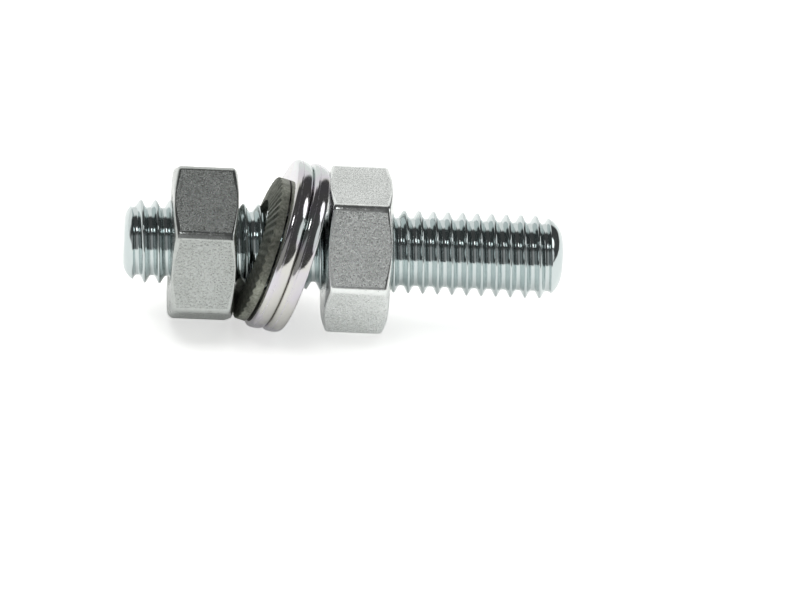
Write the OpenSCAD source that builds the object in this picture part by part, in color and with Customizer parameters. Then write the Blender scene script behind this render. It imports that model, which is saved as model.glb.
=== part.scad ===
// Grounding bolt: a threaded stud lying on its side with a hex nut, a ribbed
// lock washer, two flat washers and a second hex nut run onto it.
// Millimetres. The stud's axis runs along +X, +Z is up, and the origin lies
// under the stud's middle on the surface that the bolt rests on.

/* [Stud] */
// Length of the stud over both ends
stud_length = 30; // [25:0.5:60]
// Diameter over the thread crests of the plated M6 thread
stud_d = 5.75; // [5.6:0.01:5.97]
// Travel of the thread in one turn
thread_pitch = 1; // [0.75:0.05:1.25]
// Depth of the thread from its crest to its root
thread_depth = 0.545; // [0.3:0.005:0.6]
// Width of the flat on top of a crest
thread_crest = 0.1; // [0.04:0.01:0.2]
// Width of the flat at the root between two crests
thread_root = 0.27; // [0.1:0.01:0.3]
// Radius of the rounding at each end
stud_round = 1.7; // [0.5:0.05:2.2]
// How far the stud stands out of the left nut
stud_out = 3.2; // [1:0.05:6]

/* [Nuts] */
// Width across the six flats
nut_flats = 10; // [9.6:0.05:10.2]
// Share of the full width across the corners that is left where they are rounded
nut_corner_share = 0.99; // [0.95:0.005:1]
// Height of a nut along the stud
nut_height = 4.4; // [3.2:0.1:6]
// Share of the width across flats that the flat bearing ring takes inside the end chamfers
nut_bearing_share = 0.97; // [0.88:0.01:0.98]
// Angle of the end chamfers from the bearing face
nut_chamfer_angle = 30; // [15:1:35]
// Gap between the stud's crests and the wall of a nut's hole
thread_gap = 0.05; // [0.02:0.01:0.15]
// Depth of the countersunk mouth at each end of a nut's hole
nut_mouth = 0.38; // [0.1:0.02:0.6]
// Turn of the left nut about the stud, 0 has a corner straight down
left_nut_turn = -4.6; // [-30:0.1:30]
// Turn of the right nut about the stud, 0 has a corner straight down
right_nut_turn = 30; // [-30:0.1:30]

/* [Lock washer] */
// Outer diameter of the ribbed lock washer
lock_d = 10.1; // [9.6:0.05:11]
// How much wider its hole is than the stud
lock_hole_gap = 0.85; // [0.75:0.05:1.2]
// Thickness of its sheet
lock_sheet = 0.68; // [0.5:0.02:0.8]
// How far its inner edge is dished towards the left nut
lock_dish = 0.34; // [0:0.02:0.5]
// Number of ribs on its left face
lock_ribs = 48; // [24:1:52]
// Depth of the grooves between the ribs
rib_depth = 0.26; // [0.05:0.01:0.3]
// Width of the grooves between the ribs
rib_groove = 0.36; // [0.2:0.02:0.38]
// Lean of the lock washer from square to the stud
lock_lean = 16.8; // [0:0.1:17.5]
// Side it leans over, from the front upwards, 90 is straight up
lock_lean_side = 101; // [60:1:120]

/* [Flat washers] */
// Outer diameter of a flat washer
washer_d = 11.9; // [11:0.05:12.5]
// How much wider its hole is than the stud
washer_hole_gap = 0.95; // [0.9:0.05:1.3]
// Thickness of its sheet
washer_t = 1.15; // [0.8:0.05:1.6]
// Radius of the edge that the punch rolled over
washer_roll = 0.22; // [0.05:0.01:0.27]
// Share of the rim that the punch sheared smooth
washer_land = 0.4; // [0.35:0.05:0.8]
// How far the broken part of the rim falls back
washer_break = 0.16; // [0.02:0.01:0.3]
// Lean of the flat washers from square to the stud
washer_lean = 15.6; // [0:0.1:16.2]
// Side they lean over, from the front upwards, 90 is straight up
washer_lean_side = 97; // [60:1:120]

/* [Play] */
// Gap between two faces that touch
face_play = 0.02; // [0.01:0.01:0.1]
// Gap between the lock washer's outer edge and the flat washer beside it
lock_play = 0.06; // [0.05:0.01:0.5]
// How far up in its play the lock washer sits, 1 is all the way
lock_lift = 0.15; // [-0.9:0.05:0.9]
// How far up in its play the inner flat washer sits, 1 is all the way
inner_lift = 0.85; // [-0.9:0.05:0.9]
// How far up in its play the outer flat washer sits, 1 is all the way
outer_lift = -0.3; // [-0.9:0.05:0.9]

/* [Hidden] */
$fn = 96;
eps = 0.2;
bore_d = stud_d + 2 * thread_gap;
nut_corners = nut_flats / cos(30) * nut_corner_share;
nut_bearing_r = nut_flats * nut_bearing_share / 2;
lock_r = lock_d / 2;
lock_hole_r = (stud_d + lock_hole_gap) / 2;
lock_slope = atan(lock_dish / (lock_r - lock_hole_r));
washer_r = washer_d / 2;
washer_hole_r = (stud_d + washer_hole_gap) / 2;

// Free play across the stud of a leaning ring with hole radius r and thickness t.
function play(r, t, lean) = r * cos(lean) - t / 2 * sin(lean) - stud_d / 2;
lock_up = lock_lift * play(lock_hole_r, lock_sheet, lock_lean)
    - (lock_dish + lock_sheet / 2) * sin(lock_lean);
inner_up = inner_lift * play(washer_hole_r, washer_t, washer_lean);
outer_up = outer_lift * play(washer_hole_r, washer_t, washer_lean);

// The stack runs from the left nut: the lock washer's low edge touches that nut,
// each flat washer follows, and the right nut touches the high part of the last.
left_nut_x = -stud_length / 2 + stud_out + nut_height / 2;
lock_x = left_nut_x + nut_height / 2 + face_play
    + lock_r * sin(lock_lean) + lock_sheet * cos(lock_lean);
lock_top = lock_r * cos(lock_lean) + lock_up;
inner_x = lock_x + lock_r * sin(lock_lean) + lock_play
    - tan(washer_lean) * (lock_top - inner_up) + washer_t / 2 / cos(washer_lean);
outer_x = inner_x + (washer_t + face_play) / cos(washer_lean)
    + tan(washer_lean) * (outer_up - inner_up);
right_nut_x = outer_x + washer_t / 2 / cos(washer_lean)
    + tan(washer_lean) * (nut_bearing_r - outer_up) + face_play + nut_height / 2;

// The low edge of the outer flat washer touches the ground, at its right face or
// where the broken part of its rim begins.
axis_z = max(
    (washer_r - washer_break) * cos(washer_lean) + washer_t / 2 * sin(washer_lean),
    washer_r * cos(washer_lean) + washer_t * (washer_land - 0.5) * sin(washer_lean)
) - outer_up;

// Lays a piece that was built about Z along the stud, x from the stud's middle
// and turned about the stud.
module on_stud(x, turn) {
    translate([x, 0, axis_z]) rotate([turn, 0, 0]) rotate([0, 90, 0]) children();
}

// As on_stud, leaning over to one side and moved across the stud that way.
module leaning(x, lean, side, up) {
    translate([x, 0, axis_z]) rotate([90 - side, 0, 0]) translate([0, 0, up])
        rotate([0, 90 + lean, 0]) children();
}

// A hex nut about Z, its middle at the origin.
module hex_nut() {
    half = nut_height / 2;
    reach = nut_corners / 2 + 1;
    fall = (reach - nut_bearing_r) * tan(nut_chamfer_angle);
    bore_r = bore_d / 2;
    mouth_r = bore_r + nut_mouth + eps;
    difference() {
        intersection() {
            cylinder(d = nut_flats / cos(30), h = nut_height, center = true, $fn = 6);
            cylinder(d = nut_corners, h = nut_height, center = true);
            rotate_extrude() polygon([
                [0, -half], [nut_bearing_r, -half], [reach, -half + fall],
                [reach, half - fall], [nut_bearing_r, half], [0, half]
            ]);
        }
        rotate_extrude() polygon([
            [0, -half - eps], [mouth_r, -half - eps], [bore_r, -half + nut_mouth],
            [bore_r, half - nut_mouth], [mouth_r, half + eps], [0, half + eps]
        ]);
    }
}

// A punched washer about Z, its middle at the origin and its rolled edge below.
module flat_washer() {
    half = washer_t / 2;
    difference() {
        rotate_extrude() union() {
            polygon([
                [0, -half], [washer_r - washer_roll, -half], [washer_r, -half + washer_roll],
                [washer_r, -half + washer_t * washer_land], [washer_r - washer_break, half], [0, half]
            ]);
            translate([washer_r - washer_roll, -half + washer_roll]) circle(r = washer_roll);
        }
        cylinder(r = washer_hole_r, h = washer_t + 2 * eps, center = true);
    }
}

// The grooves between the ribs: saw-tooth notches along the slope of the dished
// sheet's left face, from its hole at the origin's height, that run out at both edges.
module rib_notches() {
    for (i = [0 : lock_ribs - 1])
        rotate([0, 0, i * 360 / lock_ribs]) translate([lock_hole_r, 0, 0])
            rotate([0, -lock_slope, 0]) translate([-eps, 0, 0])
                rotate([90, 0, 90]) linear_extrude(height = lock_r - lock_hole_r + 3 * eps) polygon([
                    [-rib_groove / 2, 0], [-rib_groove / 2, -eps], [rib_groove / 2, -eps],
                    [rib_groove / 2, 0], [rib_groove / 2 - rib_depth / 3, rib_depth]
                ]);
}

// Half section of the stud. Its thread is drawn as rings, one groove to each turn.
module stud_section() {
    r = stud_d / 2;
    half = stud_length / 2;
    last = floor(half / thread_pitch - 0.5);
    mouth = (thread_pitch - thread_crest) / 2;
    difference() {
        intersection() {
            translate([0, -half]) square([r, stud_length]);
            union() {
                polygon([
                    [0, -half], [r - stud_round, -half], [r, -half + stud_round],
                    [r, half - stud_round], [r - stud_round, half], [0, half]
                ]);
                for (end = [-1, 1])
                    translate([r - stud_round, end * (half - stud_round)]) circle(r = stud_round);
            }
        }
        for (i = [-last : last]) translate([r, i * thread_pitch]) polygon([
            [-thread_depth, -thread_root / 2], [0, -mouth], [eps, -mouth],
            [eps, mouth], [0, mouth], [-thread_depth, thread_root / 2]
        ]);
    }
}

module threaded_stud() {
    color([0.60, 0.68, 0.70]) on_stud(0, 0) rotate_extrude() stud_section();
}

module left_nut() {
    color([0.55, 0.55, 0.54]) on_stud(left_nut_x, left_nut_turn) hex_nut();
}

// A dished sheet with ribs on its left face, its outer right edge in the plane of the origin.
module lock_washer() {
    color([0.33, 0.33, 0.29]) leaning(lock_x, lock_lean, lock_lean_side, lock_up)
        difference() {
            rotate_extrude() polygon([
                [lock_r, 0], [lock_hole_r, -lock_dish],
                [lock_hole_r, -lock_dish - lock_sheet], [lock_r, -lock_sheet]
            ]);
            translate([0, 0, -lock_dish - lock_sheet]) rib_notches();
        }
}

module inner_flat_washer() {
    color([0.74, 0.75, 0.76]) leaning(inner_x, washer_lean, washer_lean_side, inner_up) flat_washer();
}

module outer_flat_washer() {
    color([0.74, 0.75, 0.76]) leaning(outer_x, washer_lean, washer_lean_side, outer_up) flat_washer();
}

module right_nut() {
    color([0.62, 0.63, 0.62]) on_stud(right_nut_x, right_nut_turn) hex_nut();
}

threaded_stud();
left_nut();
lock_washer();
inner_flat_washer();
outer_flat_washer();
right_nut();
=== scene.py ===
"""Dresses the grounding bolt: a rolled thread, tumbled nuts, punched flat washers
and a ribbed lock washer, seen from above on a white table."""

from math import atan2, cos, hypot, pi, radians, sin, tan

import bmesh
import bpy
from mathutils import Matrix, Vector, noise


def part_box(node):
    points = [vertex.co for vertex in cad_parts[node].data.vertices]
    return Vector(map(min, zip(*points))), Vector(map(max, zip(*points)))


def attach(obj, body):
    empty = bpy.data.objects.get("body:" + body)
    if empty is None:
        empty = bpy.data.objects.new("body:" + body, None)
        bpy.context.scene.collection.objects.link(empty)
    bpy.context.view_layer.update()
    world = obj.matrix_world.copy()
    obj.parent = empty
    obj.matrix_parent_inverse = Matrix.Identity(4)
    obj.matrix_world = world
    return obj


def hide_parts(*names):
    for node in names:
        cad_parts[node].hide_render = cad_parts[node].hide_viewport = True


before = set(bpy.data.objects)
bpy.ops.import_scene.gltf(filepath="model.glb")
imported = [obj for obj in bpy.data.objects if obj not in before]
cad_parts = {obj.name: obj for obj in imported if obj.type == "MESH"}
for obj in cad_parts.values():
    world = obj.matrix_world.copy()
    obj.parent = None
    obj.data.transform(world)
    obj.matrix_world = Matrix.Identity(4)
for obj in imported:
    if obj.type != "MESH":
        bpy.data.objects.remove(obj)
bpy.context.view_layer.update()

bl_info = {
    "name": "Grounding bolt",
    "version": (1, 0, 0),
    "blender": (4, 5, 0),
    "location": "3D View > Sidebar > Bolt",
    "description": "Makes the visible pieces of a grounding bolt and its white table",
    "category": "Add Mesh",
}

MM = 0.001
PICTURE_WIDTH, PICTURE_HEIGHT = 800, 606
STUD_LOW, STUD_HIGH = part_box("threaded_stud")
AXIS_Z = (STUD_LOW.z + STUD_HIGH.z) / 2
# The skin of a stud's end runs in to this radius, where one flat face closes it. The
# thread runs out softly over the blend, and points closer than the weld become one.
END_FLAT = 0.3 * MM
END_BLEND = 0.06 * MM
WELD = 1e-8
# Colours of the room as sRGB hex values, and how strongly the table glows: for the eye
# and for mirrors, and on top of that for the eye alone.
ROOF, ROOM, WALL = "4a4a4a", "9c9c9c", "fafaf8"
TABLE_GLOW, EYE_GLOW = 0.15, 0.4


def linear(hex_code):
    """The linear colour of an sRGB hex value."""
    channels = [int(hex_code[i:i + 2], 16) / 255 for i in (0, 2, 4)]
    return tuple(
        c / 12.92 if c <= 0.04045 else ((c + 0.055) / 1.055) ** 2.4 for c in channels
    )


def length(name, description, mm):
    """A length that a user can change, given in millimetres."""
    return bpy.props.FloatProperty(
        name=name, description=description, default=mm * MM, unit="LENGTH", precision=5
    )


def angle(name, description, degrees):
    """An angle that a user can change, given in degrees."""
    return bpy.props.FloatProperty(
        name=name, description=description, default=radians(degrees), unit="ROTATION"
    )


def number(name, description, value):
    """A plain number that a user can change."""
    return bpy.props.FloatProperty(name=name, description=description, default=value)


def count(name, description, value):
    """A whole number that a user can change."""
    return bpy.props.IntProperty(name=name, description=description, default=value)


def colour(name, description, hex_code):
    """A colour that a user can change, given as an sRGB hex value."""
    return bpy.props.FloatVectorProperty(
        name=name, description=description, default=linear(hex_code),
        subtype="COLOR", size=3, min=0, max=1,
    )


class StudSizes(bpy.types.PropertyGroup):
    """The rolled thread of the stud."""
    pitch: length("Pitch", "Travel of the thread in one turn", 1)
    crest_d: length("Crest diameter", "Diameter over the thread's crests", 5.75)
    root_d: length("Root diameter", "Diameter at the bottom of the thread", 4.66)
    crest_flat: length("Crest flat", "Width of the flat on top of a crest", 0.1)
    rounding: length("Rounding", "How softly flanks run into the root", 0.14)
    crest_round: length("Crest rounding", "How softly flanks run into the crest", 0.16)
    left_round: length("Left rounding", "Radius of the rounding at the left end", 1.5)
    right_round: length("Right rounding", "Radius of the rounding at the right end", 1.8)
    flank: angle("Flank", "Lean of a flank from square to the stud", 29)
    phase: number("Start", "Place of the crest along the pitch, in turns", 0.9)


class NutSizes(bpy.types.PropertyGroup):
    """The two cold-formed hex nuts."""
    flats: length("Across flats", "Width across two flats", 10)
    height: length("Height", "Height along the stud", 4.4)
    bearing_d: length("Bearing ring", "Width of the flat ring at each end", 9.7)
    chamfer: angle("Chamfer", "Angle of the end chamfers", 19)
    corner_round: length("Corner rounding", "Radius of the six long edges", 0.6)
    edge_round: length("Edge rounding", "Softness of the chamfer's edge", 0.21)
    mouth_d: length("Mouth", "Width of the hole's countersunk mouth", 6.6)
    minor_d: length("Minor diameter", "Width of the hole inside its thread", 5)
    thread_gap: length("Thread gap", "Play between the two threads", 0.05)
    left_turn: angle("Left turn", "Turn of the left nut about the stud", -4.6)
    right_turn: angle("Right turn", "Turn of the right nut about the stud", 30)


class LockWasherSizes(bpy.types.PropertyGroup):
    """The dished, ribbed lock washer."""
    outer_d: length("Outer diameter", "Width over the rim", 10.1)
    hole_d: length("Hole", "Width of the hole", 6.6)
    sheet: length("Sheet", "Thickness of the sheet", 0.68)
    dish: length("Dish", "How far the inner edge is pushed to the left", 0.34)
    ribs: count("Ribs", "Number of ribs on the left face", 48)
    rib_depth: length("Rib depth", "Depth of the grooves between ribs", 0.13)
    groove: number("Groove share", "Share of the spacing that a groove takes", 0.84)
    place: length("Place", "Plane of the rim from the stud's middle", -5.227)
    lift: length("Lift", "Move across the stud", -0.32)
    lean: angle("Lean", "Lean from square to the stud", 16.2)
    side: angle("Side", "Side it leans over, 90 is straight up", 97.5)


class FlatWasherSizes(bpy.types.PropertyGroup):
    """The two punched flat washers."""
    outer_d: length("Outer diameter", "Width over the rim", 11.9)
    hole_d: length("Hole", "Width of the hole", 6.7)
    sheet: length("Sheet", "Thickness of the sheet", 1.15)
    left_round: length("Left edge", "Radius of the rounded left edge", 0.28)
    roll: length("Rolled edge", "Length of the edge that the punch rolled over", 0.7)
    fall: length("Fall", "How far that edge falls back", 0.3)
    tear: length("Tear", "Roughness of the flat part of the rim", 0.004)
    lean: angle("Lean", "Lean from square to the stud", 15.6)
    side: angle("Side", "Side they lean over, 90 is straight up", 97)
    inner_place: length("Inner place", "Middle of the inner washer", -4.409)
    inner_lift: length("Inner lift", "Move of the inner washer across the stud", 0.167)
    outer_place: length("Outer place", "Middle of the outer washer", -3.257)
    outer_lift: length("Outer lift", "Move of the outer washer across the stud", -0.059)


class Finishes(bpy.types.PropertyGroup):
    """Colours of the plated and phosphated surfaces."""
    stud: colour("Stud", "Blue passivated zinc on the thread", "d3dada")
    stud_deep: colour("Stud shade", "Thicker, bluer passivate", "c3cfd0")
    # Both nuts are the same zinc: the left nut's two colours are painted darker as shade, the
    # right nut's two are painted lighter as light.
    left_nut: colour("Left nut", "Tumbled zinc on the left nut", "c6cac8")
    left_nut_worn_shaded: colour("Left nut shade", "Duller patches of that zinc", "acb0ad")
    right_nut: colour("Right nut", "Tumbled zinc on the right nut", "f8fbfa")
    right_nut_worn_lit: colour("Right nut shade", "Duller patches of that zinc", "dde1df")
    washer: colour("Washer", "Bright zinc on the flat washers", "d0d7d6")
    washer_tint: colour("Washer tint", "Lilac part of the faint rainbow film", "d2ced6")
    washer_gold: colour("Washer gold", "Yellow part of the faint rainbow film", "d2d1cd")
    torn: colour("Torn rim", "Fracture grain on a flat washer's rim", "d0d0d2")
    lock: colour("Lock washer", "Grey-green phosphate on spring steel", "9ea197")
    # This lighter phosphate is the thinner coat on the sheared rim, and it also covers the
    # right face, where it is painted light standing in for light from behind reaching into the
    # gap.
    lock_rim_and_lit_back: colour("Lock rim", "Thinner phosphate on the sheared rim", "a6a99d")
    lock_dark: colour("Lock shade", "Oil-dark phosphate in the grooves", "5c5e56")
    table: colour("Table", "White table", "f4f4f2")


class StageSizes(bpy.types.PropertyGroup):
    """Camera, table and light."""
    turn: angle("Turn", "How far the camera stands to the left", 3.5)
    raise_: angle("Raise", "How far the camera looks down", 30)
    roll: angle("Roll", "How far the stud dips to the right", 2.35)
    distance: length("Distance", "From the camera to the stud", 600)
    scale: number("Scale", "Pixels of the picture to a millimetre", 14.65)
    middle_u: number("Middle across", "Pixel column of the stud's middle", 343)
    middle_v: number("Middle down", "Pixel row of the stud's middle", 249.1)


class BoltSettings(bpy.types.PropertyGroup):
    """All settings of the grounding bolt."""
    stud: bpy.props.PointerProperty(type=StudSizes)
    nut: bpy.props.PointerProperty(type=NutSizes)
    lock: bpy.props.PointerProperty(type=LockWasherSizes)
    washer: bpy.props.PointerProperty(type=FlatWasherSizes)
    finish: bpy.props.PointerProperty(type=Finishes)
    stage: bpy.props.PointerProperty(type=StageSizes)


# Mesh making

def soft_min(a, b, width):
    """The smaller of two values, blended where they are nearly equal."""
    near = max(width - abs(a - b), 0) / width
    return min(a, b) - near * near * width / 4


def soft_max(a, b, width):
    """The larger of two values, blended where they are nearly equal."""
    return -soft_min(-a, -b, width)


def thread_radius(s, x, around):
    """Radius of the stud's thread at x along the stud and an angle about it."""
    turns = x / s.pitch - around / (2 * pi) - s.phase
    off = abs(turns - round(turns)) * s.pitch
    flank = s.crest_d / 2 - (off - s.crest_flat / 2) / tan(s.flank)
    return soft_min(
        s.crest_d / 2, soft_max(s.root_d / 2, flank, s.rounding), s.crest_round
    )


def round_end(s, half, skin):
    """Where a point at a distance over the skin from the stud's middle comes to lie:
    its place along the stud and how far out the rounded end lets it be there."""
    radius = s.right_round if skin > 0 else s.left_round
    straight, crest = half - radius, s.crest_d / 2
    turn = max(abs(skin) - straight, 0) / radius
    if turn == 0:
        return skin, crest
    side = 1 if skin > 0 else -1
    if turn < pi / 2:
        return side * (straight + radius * sin(turn)), crest - radius + radius * cos(turn)
    return side * half, max(crest - radius - radius * (turn - pi / 2), END_FLAT)


def on_stud(x, turn):
    """The place of a piece built about Z, laid along the stud."""
    return (
        Matrix.Translation((x, 0, AXIS_Z))
        @ Matrix.Rotation(turn, 4, "X") @ Matrix.Rotation(pi / 2, 4, "Y")
    )


def leaning(x, lean, side, lift):
    """The place of a ring built about Z that leans on the stud."""
    return (
        Matrix.Translation((x, 0, AXIS_Z)) @ Matrix.Rotation(pi / 2 - side, 4, "X")
        @ Matrix.Translation((0, 0, lift)) @ Matrix.Rotation(pi / 2 + lean, 4, "Y")
    )


def ring_skin(sections):
    """Points and faces of a ring from its closed sections, one after another."""
    across = len(sections[0])
    points = [p for section in sections for p in section]
    faces = []
    for i in range(len(sections)):
        a, b = i * across, (i + 1) % len(sections) * across
        for j in range(across):
            k = (j + 1) % across
            faces.append((a + j, a + k, b + k, b + j))
    return points, faces


def turned(section, around):
    """A flat section of (radius, height) turned to an angle about Z."""
    return [(r * cos(around), r * sin(around), z) for r, z in section]


def finish_piece(bm, name, materials, body, node, crease):
    """Makes the mesh an object that stands for a CAD node and moves with its body."""
    bmesh.ops.recalc_face_normals(bm, faces=bm.faces)
    for face in bm.faces:
        face.smooth = True
    for edge in bm.edges:
        edge.smooth = edge.calc_face_angle(0) < crease
    mesh = bpy.data.meshes.new(name)
    bm.to_mesh(mesh)
    bm.free()
    for material in materials:
        mesh.materials.append(material)
    piece = bpy.data.objects.new(name, mesh)
    bpy.context.scene.collection.objects.link(piece)
    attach(piece, body)
    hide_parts(node)
    return piece


def skin_mesh(points, faces, place, second=()):
    """A mesh in hand from points and faces, moved to its place. The faces whose
    numbers are in second take the piece's second material."""
    bm = bmesh.new()
    corners = [bm.verts.new(place @ Vector(p)) for p in points]
    for number, face in enumerate(faces):
        made = bm.faces.new([corners[i] for i in face])
        made.material_index = int(number in second)
    return bm


# Materials

def add_node(tree, kind, sockets=None, **settings):
    """Adds a node with its settings; a socket takes a value or another's output."""
    node = tree.nodes.new(kind)
    for key, value in settings.items():
        setattr(node, key, value)
    for key, value in (sockets or {}).items():
        if isinstance(value, bpy.types.NodeSocket):
            tree.links.new(value, node.inputs[key])
        else:
            node.inputs[key].default_value = value
    return node


def new_surface(name):
    """A new material, its node tree and its main shader."""
    material = bpy.data.materials.new(name)
    material.use_nodes = True
    tree = material.node_tree
    return material, tree, tree.nodes["Principled BSDF"]


def opaque(rgb):
    """A colour with full alpha, as sockets take it."""
    return (*rgb, 1)


def per_mm(size_mm):
    """The scale at which a pattern repeats about every size_mm millimetres."""
    return 1 / (size_mm * MM)


def rolled_zinc(finish):
    """Blue passivated zinc on a rolled thread: glossy, with a teal cast that comes
    and goes and faint drawn lines along the helix."""
    material, tree, shader = new_surface("blue passivated zinc, rolled")
    where = add_node(tree, "ShaderNodeTexCoord").outputs["Object"]
    cast = add_node(tree, "ShaderNodeTexNoise", {
        "Vector": where, "Scale": per_mm(2.5), "Detail": 3.0, "Roughness": 0.6,
    })
    tone = add_node(tree, "ShaderNodeMix", {
        "Factor": cast.outputs["Fac"], "A": opaque(finish.stud), "B": opaque(finish.stud_deep),
    }, data_type="RGBA")
    tree.links.new(tone.outputs["Result"], shader.inputs["Base Color"])
    shader.inputs["Metallic"].default_value = 1
    grain = add_node(tree, "ShaderNodeTexNoise", {
        "Vector": where, "Scale": per_mm(0.3), "Detail": 4.0, "Roughness": 0.6,
    })
    gloss = add_node(tree, "ShaderNodeMapRange", {
        "Value": grain.outputs["Fac"], "From Min": 0.3, "From Max": 0.7,
        "To Min": 0.06, "To Max": 0.15,
    })
    tree.links.new(gloss.outputs["Result"], shader.inputs["Roughness"])
    bump = add_node(tree, "ShaderNodeBump", {
        "Height": grain.outputs["Fac"], "Strength": 0.5, "Distance": 0.008 * MM,
    })
    tree.links.new(bump.outputs["Normal"], shader.inputs["Normal"])
    return material


def tumbled_zinc(clean, worn):
    """Zinc on a cold-formed, tumbled nut: satin, peened all over by the tumbling, so
    the flats sparkle with fine grain and the edges catch the light."""
    material, tree, shader = new_surface("zinc plated steel, tumbled")
    where = add_node(tree, "ShaderNodeTexCoord").outputs["Object"]
    # The peening is about 0.1 mm wide and is drawn more coarsely so that it shows.
    peening = add_node(tree, "ShaderNodeTexNoise", {
        "Vector": where, "Scale": per_mm(0.14), "Detail": 3.0, "Roughness": 0.65,
    })
    patches = add_node(tree, "ShaderNodeTexNoise", {
        "Vector": where, "Scale": per_mm(2.2), "Detail": 4.0, "Roughness": 0.6,
    })
    dull = add_node(tree, "ShaderNodeMath", {
        0: patches.outputs["Fac"], 1: 0.3, 2: peening.outputs["Fac"],
    }, operation="MULTIPLY_ADD")
    share = add_node(tree, "ShaderNodeMapRange", {
        "Value": dull.outputs["Value"], "From Min": 0.52, "From Max": 0.76,
    })
    tone = add_node(tree, "ShaderNodeMix", {
        "Factor": share.outputs["Result"], "A": opaque(worn), "B": opaque(clean),
    }, data_type="RGBA")
    tree.links.new(tone.outputs["Result"], shader.inputs["Base Color"])
    shader.inputs["Metallic"].default_value = 1
    gloss = add_node(tree, "ShaderNodeMapRange", {
        "Value": peening.outputs["Fac"], "From Min": 0.35, "From Max": 0.65,
        "To Min": 0.2, "To Max": 0.35,
    })
    tree.links.new(gloss.outputs["Result"], shader.inputs["Roughness"])
    bump = add_node(tree, "ShaderNodeBump", {
        "Height": peening.outputs["Fac"], "Strength": 0.9, "Distance": 0.08 * MM,
    })
    tree.links.new(bump.outputs["Normal"], shader.inputs["Normal"])
    return material


def burnished_zinc(clean, worn):
    """The same zinc where the tumbling rubbed the edges: smoother, so each edge
    shows as a line of sharp reflections."""
    material, tree, shader = new_surface("zinc plated steel, burnished")
    where = add_node(tree, "ShaderNodeTexCoord").outputs["Object"]
    rubs = add_node(tree, "ShaderNodeTexNoise", {
        "Vector": where, "Scale": per_mm(0.5), "Detail": 4.0, "Roughness": 0.65,
    })
    tone = add_node(tree, "ShaderNodeMix", {
        "Factor": rubs.outputs["Fac"], "A": opaque(clean), "B": opaque(worn),
    }, data_type="RGBA")
    tree.links.new(tone.outputs["Result"], shader.inputs["Base Color"])
    shader.inputs["Metallic"].default_value = 1
    gloss = add_node(tree, "ShaderNodeMapRange", {
        "Value": rubs.outputs["Fac"], "From Min": 0.3, "From Max": 0.7,
        "To Min": 0.16, "To Max": 0.3,
    })
    tree.links.new(gloss.outputs["Result"], shader.inputs["Roughness"])
    bump = add_node(tree, "ShaderNodeBump", {
        "Height": rubs.outputs["Fac"], "Strength": 0.5, "Distance": 0.02 * MM,
    })
    tree.links.new(bump.outputs["Normal"], shader.inputs["Normal"])
    return material


def bright_zinc(finish):
    """Bright zinc on punched sheet: a clear mirror with a faint rainbow film and a
    few tiny pits."""
    material, tree, shader = new_surface("bright zinc plated steel, punched")
    where = add_node(tree, "ShaderNodeTexCoord").outputs["Object"]
    film = add_node(tree, "ShaderNodeTexNoise", {
        "Vector": where, "Scale": per_mm(3), "Detail": 2.0, "Roughness": 0.5,
    })
    tone = add_node(tree, "ShaderNodeValToRGB", {"Fac": film.outputs["Fac"]})
    tints = (finish.washer, finish.washer_tint, finish.washer_gold)
    ramp = tone.color_ramp.elements
    ramp.new(0.5)
    for stop, place, tint in zip(ramp, (0.38, 0.5, 0.62), tints):
        stop.position, stop.color = place, opaque(tint)
    tree.links.new(tone.outputs["Color"], shader.inputs["Base Color"])
    shader.inputs["Metallic"].default_value = 1
    pits = add_node(tree, "ShaderNodeTexNoise", {
        "Vector": where, "Scale": per_mm(0.35), "Detail": 3.0, "Roughness": 0.6,
    })
    gloss = add_node(tree, "ShaderNodeMapRange", {
        "Value": pits.outputs["Fac"], "From Min": 0.35, "From Max": 0.7,
        "To Min": 0.07, "To Max": 0.16,
    })
    tree.links.new(gloss.outputs["Result"], shader.inputs["Roughness"])
    bump = add_node(tree, "ShaderNodeBump", {
        "Height": pits.outputs["Fac"], "Strength": 0.4, "Distance": 0.006 * MM,
    })
    tree.links.new(bump.outputs["Normal"], shader.inputs["Normal"])
    return material


def torn_zinc(finish):
    """Zinc over the torn part of a punched rim: the fracture shows through as dark
    grain with bright specks."""
    material, tree, shader = new_surface("zinc plated steel, torn")
    where = add_node(tree, "ShaderNodeTexCoord").outputs["Object"]
    # The fracture's grains are about 0.1 mm wide and are drawn over three times as coarse.
    grain = add_node(tree, "ShaderNodeTexNoise", {
        "Vector": where, "Scale": per_mm(0.35), "Detail": 2.0, "Roughness": 0.6,
    })
    share = add_node(tree, "ShaderNodeMapRange", {
        "Value": grain.outputs["Fac"], "From Min": 0.3, "From Max": 0.6,
    })
    tone = add_node(tree, "ShaderNodeMix", {
        "Factor": share.outputs["Result"],
        "A": opaque(finish.torn), "B": opaque(finish.washer_tint),
    }, data_type="RGBA")
    tree.links.new(tone.outputs["Result"], shader.inputs["Base Color"])
    shader.inputs["Metallic"].default_value = 1
    gloss = add_node(tree, "ShaderNodeMapRange", {
        "Value": grain.outputs["Fac"], "From Min": 0.35, "From Max": 0.65,
        "To Min": 0.34, "To Max": 0.2,
    })
    tree.links.new(gloss.outputs["Result"], shader.inputs["Roughness"])
    bump = add_node(tree, "ShaderNodeBump", {
        "Height": grain.outputs["Fac"], "Strength": 0.6, "Distance": 0.02 * MM,
    })
    tree.links.new(bump.outputs["Normal"], shader.inputs["Normal"])
    return material


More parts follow.
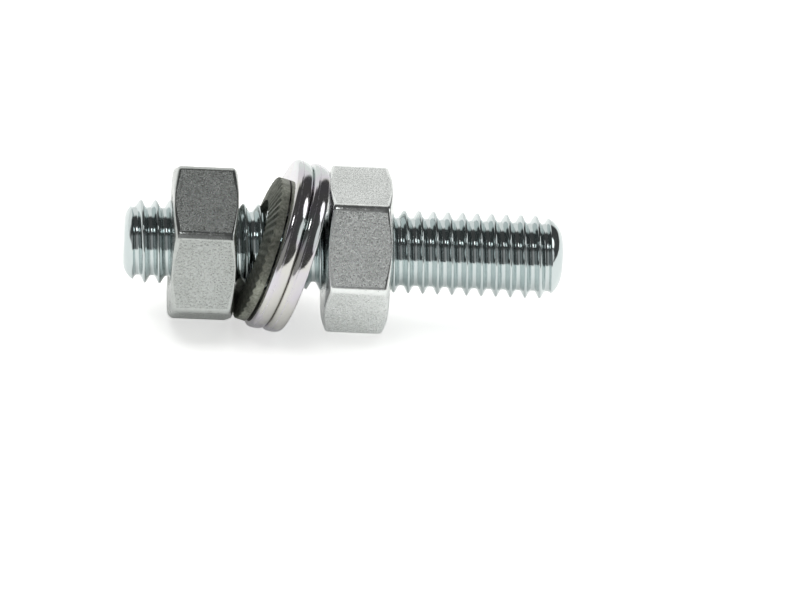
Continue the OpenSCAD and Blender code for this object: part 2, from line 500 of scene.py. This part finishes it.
def phosphate(made, light, dark):
    """Phosphate on hardened spring steel: matt crystal grain that drinks oil, so it
    is dark and grey-green with almost no shine. The sheared rim takes it thinner and
    stays lighter than the pressed faces."""
    material, tree, shader = new_surface("phosphated spring steel, " + made)
    where = add_node(tree, "ShaderNodeTexCoord").outputs["Object"]
    crystals = add_node(tree, "ShaderNodeTexNoise", {
        "Vector": where, "Scale": per_mm(0.18), "Detail": 3.0, "Roughness": 0.6,
    })
    oil = add_node(tree, "ShaderNodeTexNoise", {
        "Vector": where, "Scale": per_mm(1.4), "Detail": 3.0, "Roughness": 0.6,
    })
    mottle = add_node(tree, "ShaderNodeMath", {
        0: crystals.outputs["Fac"], 1: oil.outputs["Fac"],
    }, operation="MULTIPLY")
    share = add_node(tree, "ShaderNodeMapRange", {
        "Value": mottle.outputs["Value"], "From Min": 0.12, "From Max": 0.4,
    })
    tone = add_node(tree, "ShaderNodeMix", {
        "Factor": share.outputs["Result"], "A": opaque(dark), "B": opaque(light),
    }, data_type="RGBA")
    tree.links.new(tone.outputs["Result"], shader.inputs["Base Color"])
    shader.inputs["Metallic"].default_value = 0.7
    shader.inputs["Roughness"].default_value = 0.46
    bump = add_node(tree, "ShaderNodeBump", {
        "Height": crystals.outputs["Fac"], "Strength": 0.7, "Distance": 0.02 * MM,
    })
    tree.links.new(bump.outputs["Normal"], shader.inputs["Normal"])
    return material


# Operators

class BOLT_OT_stud(bpy.types.Operator):
    """Makes the stud with its rolled right-hand thread and rounded ends"""
    bl_idname = "bolt.stud"
    bl_label = "Threaded Stud"

    def execute(self, context):
        settings = context.scene.bolt
        s = settings.stud
        half = (STUD_HIGH.x - STUD_LOW.x) / 2
        around_steps = 96
        # Rows follow the helix, closest together at crest and root.
        side = (0.02, 0.05, 0.07, 0.1, 0.17, 0.24, 0.31, 0.36, 0.41, 0.46)
        rows = sorted([-t for t in side] + list(side))
        # A few more turns at each end fold in over the rounded ends.
        spare = 4
        turns = int(2 * half / s.pitch) + 2 * spare
        start = -half - spare * s.pitch + s.phase * s.pitch
        bm = bmesh.new()
        corners = []
        for i in range(around_steps):
            turn = i / around_steps
            around = turn * 2 * pi
            column = []
            for k in range(turns):
                for t in rows:
                    x, limit = round_end(s, half, start + (k + t + turn) * s.pitch)
                    r = soft_min(thread_radius(s, x, around), limit, END_BLEND)
                    r = max(r, END_FLAT)
                    y, z = r * cos(around), r * sin(around) + AXIS_Z
                    column.append(bm.verts.new((x, y, z)))
            corners.append(column)
        for i in range(around_steps):
            last = i == around_steps - 1
            a, b = corners[i], corners[0] if last else corners[i + 1]
            shift = len(rows) if last else 0
            for j in range(len(a) - 1 - shift):
                bm.faces.new((a[j], a[j + 1], b[j + 1 + shift], b[j + shift]))
        bmesh.ops.remove_doubles(bm, verts=bm.verts, dist=WELD)
        for end in (-1, 1):
            rim = [e for e in bm.edges if e.is_boundary and e.verts[0].co.x * end > 0]
            bmesh.ops.contextual_create(bm, geom=rim)
        finish_piece(
            bm, "stud_thread", [rolled_zinc(settings.finish)], "stud", "threaded_stud",
            crease=radians(50),
        )
        return {"FINISHED"}


# A nut's outline has so many points to a side, of which the first are on the flat;
# across the outside of a nut there are so many faces, the first and last on its chamfers.
NUT_SIDE, NUT_FLAT = 15, 7
NUT_SKIN, NUT_CHAMFER = 22, 8
# The edge between bearing ring and chamfer has a row of points just inside and outside.
RING_INSIDE, RING_OUTSIDE = 0.05 * MM, 0.02 * MM


def hex_outline(n):
    """Points of a hexagon with rounded corners, one corner on X."""
    inner = n.flats / 2 - n.corner_round
    points = []
    for k in range(6):
        normal = radians(30 + 60 * k)
        for t in (-1, -0.8, -0.5, -0.2, 0.2, 0.5, 0.8, 1):
            along = t * inner * tan(radians(30))
            points.append((
                n.flats / 2 * cos(normal) - along * sin(normal),
                n.flats / 2 * sin(normal) + along * cos(normal),
            ))
        corner = normal + radians(30)
        reach = inner / cos(radians(30))
        for m in range(1, 8):
            turn = normal + radians(60) * m / 8
            points.append((
                reach * cos(corner) + n.corner_round * cos(turn),
                reach * sin(corner) + n.corner_round * sin(turn),
            ))
    return points


def nut_section(n, s, reach, around, x):
    """One closed section of a nut: its wall, chamfers, bearing rings and threaded
    hole. The wall is at reach, and x and around tell where the thread stands."""
    half, bearing = n.height / 2, n.bearing_d / 2
    fall = (reach - bearing) * tan(n.chamfer)
    soft = min(n.edge_round, 0.45 * hypot(reach - bearing, fall))
    edge = Vector((reach, half - fall))
    on_cone = edge + soft * Vector((-cos(n.chamfer), sin(n.chamfer)))
    on_wall = edge - soft * Vector((0, 1))
    upper = [(n.mouth_d / 2, half), (bearing * 0.8, half), (bearing - RING_INSIDE, half)]
    upper.append((bearing + RING_OUTSIDE, half - RING_OUTSIDE * tan(n.chamfer)))
    for m in range(5):
        t = m / 4
        p = on_cone * (1 - t) ** 2 + edge * 2 * t * (1 - t) + on_wall * t ** 2
        upper.append((p.x, p.y))
    wall = [(reach, on_wall.y * t) for t in (0.7, 0.35, 0, -0.35, -0.7)]
    lower = [(r, -z) for r, z in reversed(upper)]
    steps = 44
    hole = []
    for m in range(1, steps):
        z = -half + n.height * m / steps
        meshed = thread_radius(s, x + z, around) + n.thread_gap
        mouth = n.mouth_d / 2 - (half - abs(z))
        hole.append((max(n.minor_d / 2, meshed, mouth), z))
    return upper + wall + lower + hole


class BOLT_OT_nuts(bpy.types.Operator):
    """Makes the two hex nuts, each with an internal thread that meets the stud's"""
    bl_idname = "bolt.nuts"
    bl_label = "Hex Nuts"

    def execute(self, context):
        settings = context.scene.bolt
        n, s = settings.nut, settings.stud
        finish = settings.finish
        outline = hex_outline(n)
        # The left nut takes the shaded copy of the zinc colours and the right nut the lit copy:
        # painted shade and painted light on one finish.
        nuts = (
            ("left", n.left_turn, finish.left_nut, finish.left_nut_worn_shaded),
            ("right", n.right_turn, finish.right_nut, finish.right_nut_worn_lit),
        )
        for side, turn, clean, worn in nuts:
            node = side + "_nut"
            low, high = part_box(node)
            x = (low.x + high.x) / 2
            sections = []
            for u, v in outline:
                way = atan2(v, u)
                sections.append(turned(
                    nut_section(n, s, hypot(u, v), way - pi / 2 + turn, x), way
                ))
            # The six long edges and the end chamfers are burnished.
            across = len(sections[0])
            edges = {
                i * across + j for i in range(len(sections)) for j in range(NUT_SKIN)
                if i % NUT_SIDE >= NUT_FLAT or j < NUT_CHAMFER or j >= NUT_SKIN - NUT_CHAMFER
            }
            bm = skin_mesh(*ring_skin(sections), on_stud(x, turn), edges)
            finish_piece(
                bm, "hex_nut_" + side, [tumbled_zinc(clean, worn), burnished_zinc(clean, worn)],
                node + "_body", node, crease=radians(40),
            )
        return {"FINISHED"}


class BOLT_OT_lock_washer(bpy.types.Operator):
    """Makes the dished lock washer with ribs on its left face"""
    bl_idname = "bolt.lock_washer"
    bl_label = "Lock Washer"

    def execute(self, context):
        settings = context.scene.bolt
        w = settings.lock
        inner, outer = w.hole_d / 2, w.outer_d / 2
        steps = 12
        faces_across = 9
        # A groove falls over a third of its width, rises gently over the rest, and is
        # shallower at the hole.
        lowest, at_hole = 0.35, 0.4
        shape = []
        for i in range(steps):
            t = min(i / steps / w.groove, 1)
            shape.append(w.rib_depth * min(t / lowest, (1 - t) / (1 - lowest)))
        bevel = 0.04 * MM
        across = [inner + (outer - inner) * m / (faces_across - 1) for m in range(faces_across)]
        across[-1] -= bevel
        sections = []
        for i in range(w.ribs * steps):
            low = -w.sheet + shape[i % steps]
            right = [(r, w.dish * (r - outer) / (outer - inner)) for r in across]
            left = []
            for r, z in reversed(right):
                share = at_hole + (1 - at_hole) * (r - inner) / (outer - inner)
                left.append((r, z - w.sheet + share * shape[i % steps]))
            rim = [(outer, -bevel), (outer, low / 2), (outer, low + bevel)]
            sections.append(turned(right + rim + left, 2 * pi * i / (w.ribs * steps)))
        span = len(sections[0])
        # The right face and the rim take the lighter phosphate: on the rim it is the thinner
        # coat, on the right face it is painted light.
        smooth = range(faces_across + len(rim))
        edge = {i * span + j for i in range(len(sections)) for j in smooth}
        bm = skin_mesh(
            *ring_skin(sections), leaning(w.place, w.lean, w.side, w.lift), edge
        )
        finish = settings.finish
        materials = [
            phosphate("pressed", finish.lock, finish.lock_dark),
            phosphate("sheared", finish.lock_rim_and_lit_back, finish.lock_dark),
        ]
        finish_piece(
            bm, "ribbed_lock_washer", materials, "lock_washer_body", "lock_washer",
            crease=radians(30),
        )
        return {"FINISHED"}


# The faces across a washer's section that lie on the torn part of its rim, the width of
# the fracture's grains there, and how the punch broke the hole's two edges.
WASHER_TORN = (8, 11)
TEAR_GRAIN = 0.3 * MM
HOLE_LEFT, HOLE_RIGHT = 0.05 * MM, 0.12 * MM


def washer_section(w, around, seed):
    """One section of a punched washer: rounded left edge, a flat band round the rim,
    rolled right edge and hole. The seed makes each washer's tears its own."""
    half, outer, hole = w.sheet / 2, w.outer_d / 2, w.hole_d / 2
    middle = (outer + hole) / 2
    section = [(hole + HOLE_LEFT, -half), (middle, -half)]
    for m in range(4):
        turn = radians(90) * m / 3
        section.append((
            outer - w.left_round * (1 - sin(turn)), -half + w.left_round * (1 - cos(turn))
        ))
    start, end = -half + w.left_round, half - w.roll
    for m in range(1, 7):
        z = start + (end - start) * m / 7
        at = Vector((outer * cos(around), outer * sin(around), z + seed)) / TEAR_GRAIN
        section.append((outer - w.tear * abs(noise.noise(at)), z))
    for m in range(11):
        turn = radians(90) * m / 10
        section.append((outer - w.fall * (1 - cos(turn)), end + w.roll * sin(turn)))
    section += [(outer - w.fall - 0.1 * MM, half), (middle, half)]
    section += [(hole + HOLE_RIGHT, half), (hole, half - HOLE_RIGHT)]
    section.append((hole, -half + HOLE_LEFT))
    return section


class BOLT_OT_flat_washers(bpy.types.Operator):
    """Makes the two punched flat washers"""
    bl_idname = "bolt.flat_washers"
    bl_label = "Flat Washers"

    def execute(self, context):
        settings = context.scene.bolt
        w = settings.washer
        materials = [bright_zinc(settings.finish), torn_zinc(settings.finish)]
        around_steps = 288
        pieces = (
            ("inner", w.inner_place, w.inner_lift), ("outer", w.outer_place, w.outer_lift),
        )
        for seed, (side, x, lift) in enumerate(pieces):
            sections = []
            for i in range(around_steps):
                around = 2 * pi * i / around_steps
                sections.append(turned(washer_section(w, around, seed * 40 * MM), around))
            across = len(sections[0])
            torn = {i * across + j for i in range(around_steps) for j in range(*WASHER_TORN)}
            bm = skin_mesh(*ring_skin(sections), leaning(x, w.lean, w.side, lift), torn)
            finish_piece(
                bm, "flat_washer_" + side, materials, "flat_washers_body",
                side + "_flat_washer", crease=radians(35),
            )
        return {"FINISHED"}


class BOLT_OT_stage(bpy.types.Operator):
    """Sets up the camera, the white table and the soft light"""
    bl_idname = "bolt.stage"
    bl_label = "Table, Light and Camera"

    def execute(self, context):
        scene = context.scene
        self.place_camera(scene)
        self.lay_table(scene)
        self.light_room(scene)
        scene.view_settings.view_transform = "Standard"
        return {"FINISHED"}

    def place_camera(self, scene):
        """A long lens that looks down on the stud."""
        g = scene.bolt.stage
        back = Vector((
            -sin(g.turn), -cos(g.turn) * cos(g.raise_), cos(g.turn) * sin(g.raise_)
        ))
        along = Vector((1, 0, 0)) - back * back.x
        along.normalize()
        over = back.cross(along)
        right = along * cos(g.roll) + over * sin(g.roll)
        up = over * cos(g.roll) - along * sin(g.roll)
        aim = Vector((0, 0, AXIS_Z))
        aim += right * ((PICTURE_WIDTH / 2 - g.middle_u) / g.scale * MM)
        aim -= up * ((PICTURE_HEIGHT / 2 - g.middle_v) / g.scale * MM)
        data = bpy.data.cameras.new("camera")
        data.sensor_width = 36
        data.lens = data.sensor_width * g.distance / (PICTURE_WIDTH / g.scale * MM)
        data.clip_start, data.clip_end = 0.01, 20
        camera = bpy.data.objects.new("camera", data)
        turn = Matrix((right, up, back)).transposed().to_4x4()
        camera.matrix_world = Matrix.Translation(aim + back * g.distance) @ turn
        scene.collection.objects.link(camera)
        scene.camera = camera

    def lay_table(self, scene):
        """A wide white table. It glows a little for the eye and for mirrors, so that
        it stays white, and it takes the shadow of the bolt."""
        bm = bmesh.new()
        bmesh.ops.create_grid(bm, x_segments=4, y_segments=4, size=3)
        mesh = bpy.data.meshes.new("table")
        bm.to_mesh(mesh)
        bm.free()
        table = bpy.data.objects.new("table", mesh)
        scene.collection.objects.link(table)
        material = bpy.data.materials.new("white painted table")
        material.use_nodes = True
        tree = material.node_tree
        tree.nodes.clear()
        paint = add_node(tree, "ShaderNodeBsdfDiffuse", {
            "Color": opaque(scene.bolt.finish.table),
        })
        path = add_node(tree, "ShaderNodeLightPath")
        seen = add_node(tree, "ShaderNodeMath", {
            0: path.outputs["Is Camera Ray"], 1: path.outputs["Is Glossy Ray"],
        }, operation="MAXIMUM")
        seen = add_node(tree, "ShaderNodeMath", {
            0: seen.outputs["Value"], 1: path.outputs["Is Transmission Ray"],
        }, operation="MAXIMUM")
        extra = add_node(tree, "ShaderNodeMath", {
            0: path.outputs["Is Camera Ray"], 1: EYE_GLOW,
        }, operation="MULTIPLY")
        glow = add_node(tree, "ShaderNodeMath", {
            0: seen.outputs["Value"], 1: TABLE_GLOW, 2: extra.outputs["Value"],
        }, operation="MULTIPLY_ADD")
        white = add_node(tree, "ShaderNodeEmission", {"Strength": glow.outputs["Value"]})
        both = add_node(tree, "ShaderNodeAddShader", {
            0: paint.outputs["BSDF"], 1: white.outputs["Emission"],
        })
        add_node(tree, "ShaderNodeOutputMaterial", {"Surface": both.outputs["Shader"]})
        mesh.materials.append(material)

    def light_room(self, scene):
        """A white wall behind, a grey room in front, a dark roof, a wide soft lamp over
        the table and three smaller ones for the highlights."""
        world = bpy.data.worlds.new("studio")
        scene.world = world
        world.use_nodes = True
        tree = world.node_tree
        way = add_node(tree, "ShaderNodeTexCoord").outputs["Generated"]
        parts = add_node(tree, "ShaderNodeSeparateXYZ", {"Vector": way})
        # The white wall reaches up behind and low at the left, under a dark roof, and
        # ends further back at the right.
        left = add_node(tree, "ShaderNodeMath", {
            0: parts.outputs["X"], 1: -0.2,
        }, operation="MULTIPLY")
        right = add_node(tree, "ShaderNodeMath", {
            0: parts.outputs["X"], 1: 2.0, 2: -0.35,
        }, operation="MULTIPLY_ADD")
        aside = add_node(tree, "ShaderNodeMath", {
            0: left.outputs["Value"], 1: right.outputs["Value"],
        }, operation="MAXIMUM")
        edge = add_node(tree, "ShaderNodeMath", {
            0: parts.outputs["Y"], 1: aside.outputs["Value"],
        }, operation="SUBTRACT")
        wall = add_node(tree, "ShaderNodeMath", {
            0: parts.outputs["Z"], 1: -0.62, 2: edge.outputs["Value"],
        }, operation="MULTIPLY_ADD")
        white = add_node(tree, "ShaderNodeMapRange", {
            "Value": wall.outputs["Value"], "From Min": -0.1, "From Max": 0.15,
        }, interpolation_type="SMOOTHSTEP")
        # In front and to the left, the room is grey up to about half height.
        rise = add_node(tree, "ShaderNodeMath", {
            0: parts.outputs["Z"], 1: 1.1, 2: parts.outputs["Y"],
        }, operation="MULTIPLY_ADD")
        front = add_node(tree, "ShaderNodeMapRange", {
            "Value": rise.outputs["Value"], "From Min": 0.05, "From Max": 0.3,
            "To Min": 1.0, "To Max": 0.0,
        }, interpolation_type="SMOOTHSTEP")
        middle = add_node(tree, "ShaderNodeMapRange", {
            "Value": parts.outputs["X"], "From Min": 0.0, "From Max": 0.2,
            "To Min": 1.0, "To Max": 0.0,
        }, interpolation_type="SMOOTHSTEP")
        ahead = add_node(tree, "ShaderNodeMath", {
            0: front.outputs["Result"], 1: middle.outputs["Result"],
        }, operation="MULTIPLY")
        room = add_node(tree, "ShaderNodeMix", {
            "Factor": ahead.outputs["Value"],
            "A": opaque(linear(ROOF)), "B": opaque(linear(ROOM)),
        }, data_type="RGBA")
        shade = add_node(tree, "ShaderNodeMix", {
            "Factor": white.outputs["Result"],
            "A": room.outputs["Result"], "B": opaque(linear(WALL)),
        }, data_type="RGBA")
        tree.links.new(shade.outputs["Result"], tree.nodes["Background"].inputs["Color"])
        over = self.hang_lamp(scene, "wide_soft_lamp", (0, 0.1, 1), 1.6, 12)
        over.visible_glossy = False
        self.hang_lamp(scene, "front_lamp", (-0.14, -0.257, 0.636), 0.16, 0.32)
        self.hang_lamp(scene, "right_lamp", (0.72, 0.045, 0.54), 0.42, 0.88)
        self.hang_lamp(scene, "low_lamp", (0.72, -0.32, 0.26), 0.5, 0.5)

    def hang_lamp(self, scene, name, place, width, watts):
        """A round soft lamp that shines at the bolt."""
        data = bpy.data.lights.new(name, "AREA")
        data.shape, data.size, data.energy = "DISK", width, watts
        lamp = bpy.data.objects.new(name, data)
        lamp.location = place
        lamp.rotation_mode = "QUATERNION"
        lamp.rotation_quaternion = Vector(place).to_track_quat("Z", "Y")
        scene.collection.objects.link(lamp)
        return lamp


OPERATORS = (
    BOLT_OT_stud, BOLT_OT_nuts, BOLT_OT_lock_washer, BOLT_OT_flat_washers, BOLT_OT_stage,
)
GROUPS = (
    StudSizes, NutSizes, LockWasherSizes, FlatWasherSizes, Finishes, StageSizes,
    BoltSettings,
)


class BOLT_PT_sidebar(bpy.types.Panel):
    """Lists the bolt's pieces and their settings"""
    bl_idname = "BOLT_PT_sidebar"
    bl_label = "Grounding Bolt"
    bl_space_type = "VIEW_3D"
    bl_region_type = "UI"
    bl_category = "Bolt"

    def draw(self, context):
        settings = context.scene.bolt
        groups = (
            (settings.stud, BOLT_OT_stud), (settings.nut, BOLT_OT_nuts),
            (settings.lock, BOLT_OT_lock_washer), (settings.washer, BOLT_OT_flat_washers),
            (settings.finish, None), (settings.stage, BOLT_OT_stage),
        )
        for group, operator in groups:
            box = self.layout.box()
            for key in group.__annotations__:
                box.prop(group, key)
            if operator:
                box.operator(operator.bl_idname)


CLASSES = GROUPS + OPERATORS + (BOLT_PT_sidebar,)


def register():
    for cls in CLASSES:
        bpy.utils.register_class(cls)
    bpy.types.Scene.bolt = bpy.props.PointerProperty(type=BoltSettings)


def unregister():
    del bpy.types.Scene.bolt
    for cls in reversed(CLASSES):
        bpy.utils.unregister_class(cls)


def main():
    register()
    bpy.ops.bolt.stage()
    bpy.ops.bolt.stud()
    bpy.ops.bolt.nuts()
    bpy.ops.bolt.lock_washer()
    bpy.ops.bolt.flat_washers()


if __name__ == "__main__":
    main()
